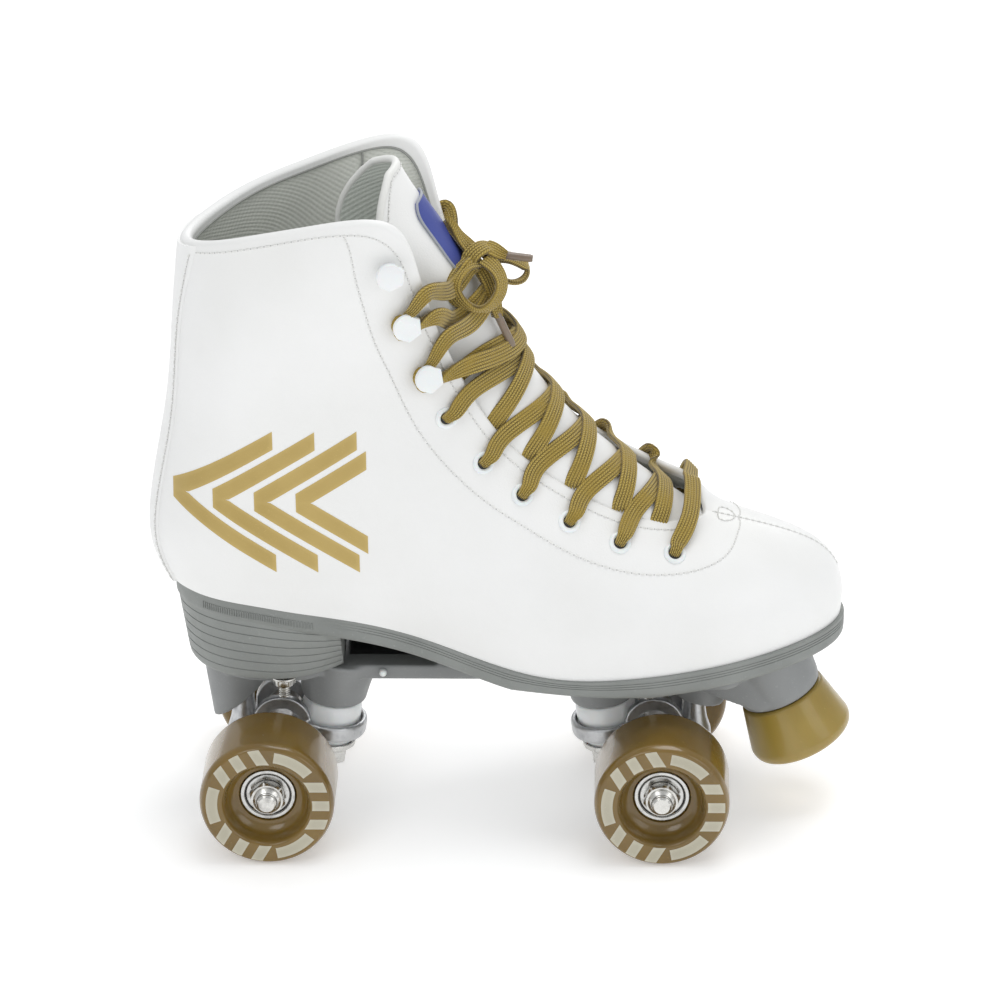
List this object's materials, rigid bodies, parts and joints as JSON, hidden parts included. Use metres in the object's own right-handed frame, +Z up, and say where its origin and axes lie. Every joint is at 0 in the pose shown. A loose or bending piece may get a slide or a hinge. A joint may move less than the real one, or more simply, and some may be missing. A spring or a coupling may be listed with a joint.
{
  "type": "quad roller skate",
  "caption": "Laced high-top boot on a nylon plate with two steering trucks, ball-bearing wheels in pairs and a rubber toe stop.",
  "frame": {"origin": "on the ground under the middle of the skate's bounding box", "axes": "+X to the toe, +Y to the wearer's left, +Z up"},
  "size_m": [0.2814, 0.122, 0.2755],
  "materials": {
    "white_leatherette": "fine-grained, satin",
    "grey_sole": "moulded, fine grooves",
    "grey_nylon": "moulded",
    "bronze_urethane": "glossy cast urethane",
    "bronze_rubber": "smooth satin",
    "white_urethane": "smooth satin",
    "grey_lining": "ribbed knit",
    "lasting_board": "fibreboard",
    "blue_label": "woven patch, no lettering",
    "gold_lace": "flat braid",
    "bearing_steel": "ground",
    "zinc_hardware": "bright zinc plate",
    "cast_truck": "tumbled casting"
  },
  "bodies": {
    "root": {"plate": "grey_nylon", "toe_stop": "bronze_rubber", "toe_stop_bolt": "bearing_steel", "outsole": "grey_sole", "lasting_board": "lasting_board", "footbed": "grey_lining", "upper": "white_leatherette", "backstay": "white_leatherette", "eyelet_stay_left": "white_leatherette", "eyelet_stay_right": "white_leatherette", "lining": "grey_lining", "tongue": "white_leatherette", "tongue_label": "blue_label", "lace": "gold_lace", "left_hook_1": "white_leatherette", "left_hook_2": "white_leatherette", "left_hook_3": "white_leatherette", "right_hook_1": "white_leatherette", "right_hook_2": "white_leatherette", "right_hook_3": "white_leatherette", "rear_kingpin": "zinc_hardware", "rear_pivot_cup": "white_urethane", "rear_upper_cushion": "white_urethane", "rear_lower_cushion": "white_urethane", "rear_cushion_retainer": "zinc_hardware", "rear_left_mounting_bolt": "zinc_hardware", "rear_right_mounting_bolt": "zinc_hardware", "front_kingpin": "zinc_hardware", "front_pivot_cup": "white_urethane", "front_upper_cushion": "white_urethane", "front_lower_cushion": "white_urethane", "front_cushion_retainer": "zinc_hardware", "front_left_mounting_bolt": "zinc_hardware", "front_right_mounting_bolt": "zinc_hardware"},
    "rear_truck": {"rear_hanger": "cast_truck", "rear_axle": "bearing_steel", "rear_left_axle_nut": "zinc_hardware", "rear_left_bearing_spacer": "bearing_steel", "rear_right_axle_nut": "zinc_hardware", "rear_right_bearing_spacer": "bearing_steel"},
    "rear_kingpin_nut": {"rear_kingpin_nut": "zinc_hardware"},
    "rear_left_wheel": {"rear_left_wheel": "bronze_urethane", "rear_left_outer_bearing": "bearing_steel", "rear_left_inner_bearing": "bearing_steel"},
    "rear_right_wheel": {"rear_right_wheel": "bronze_urethane", "rear_right_outer_bearing": "bearing_steel", "rear_right_inner_bearing": "bearing_steel"},
    "front_truck": {"front_hanger": "cast_truck", "front_axle": "bearing_steel", "front_left_axle_nut": "zinc_hardware", "front_left_bearing_spacer": "bearing_steel", "front_right_axle_nut": "zinc_hardware", "front_right_bearing_spacer": "bearing_steel"},
    "front_kingpin_nut": {"front_kingpin_nut": "zinc_hardware"},
    "front_left_wheel": {"front_left_wheel": "bronze_urethane", "front_left_outer_bearing": "bearing_steel", "front_left_inner_bearing": "bearing_steel"},
    "front_right_wheel": {"front_right_wheel": "bronze_urethane", "front_right_outer_bearing": "bearing_steel", "front_right_inner_bearing": "bearing_steel"}
  },
  "joints": [
    {"name": "rear_truck_steer", "type": "hinge", "parent": "root", "child": "rear_truck", "pos_m": [-0.1053, 0, 0.0455], "axis": [0.9471, 0, -0.3211], "range_deg": [-8, 8], "stiffness_Nm_per_rad": 25, "deforming": ["rear_upper_cushion", "rear_lower_cushion"]},
    {"name": "rear_kingpin_nut_slack", "type": "slide", "parent": "root", "child": "rear_kingpin_nut", "axis": [-0.1392, 0, -0.9903], "range_m": [0, 0.002]},
    {"name": "rear_left_wheel_spin", "type": "hinge", "parent": "rear_truck", "child": "rear_left_wheel", "pos_m": [-0.0923, 0.045, 0.027], "axis": [0, 1, 0], "continuous": true},
    {"name": "rear_right_wheel_spin", "type": "hinge", "parent": "rear_truck", "child": "rear_right_wheel", "pos_m": [-0.0923, -0.045, 0.027], "axis": [0, 1, 0], "continuous": true},
    {"name": "front_truck_steer", "type": "hinge", "parent": "root", "child": "front_truck", "pos_m": [0.0782, 0, 0.0455], "axis": [-0.9471, 0, -0.3211], "range_deg": [-8, 8], "stiffness_Nm_per_rad": 25, "deforming": ["front_upper_cushion", "front_lower_cushion"]},
    {"name": "front_kingpin_nut_slack", "type": "slide", "parent": "root", "child": "front_kingpin_nut", "axis": [0.1392, 0, -0.9903], "range_m": [0, 0.002]},
    {"name": "front_left_wheel_spin", "type": "hinge", "parent": "front_truck", "child": "front_left_wheel", "pos_m": [0.0652, 0.045, 0.027], "axis": [0, 1, 0], "continuous": true},
    {"name": "front_right_wheel_spin", "type": "hinge", "parent": "front_truck", "child": "front_right_wheel", "pos_m": [0.0652, -0.045, 0.027], "axis": [0, 1, 0], "continuous": true}
  ]
}
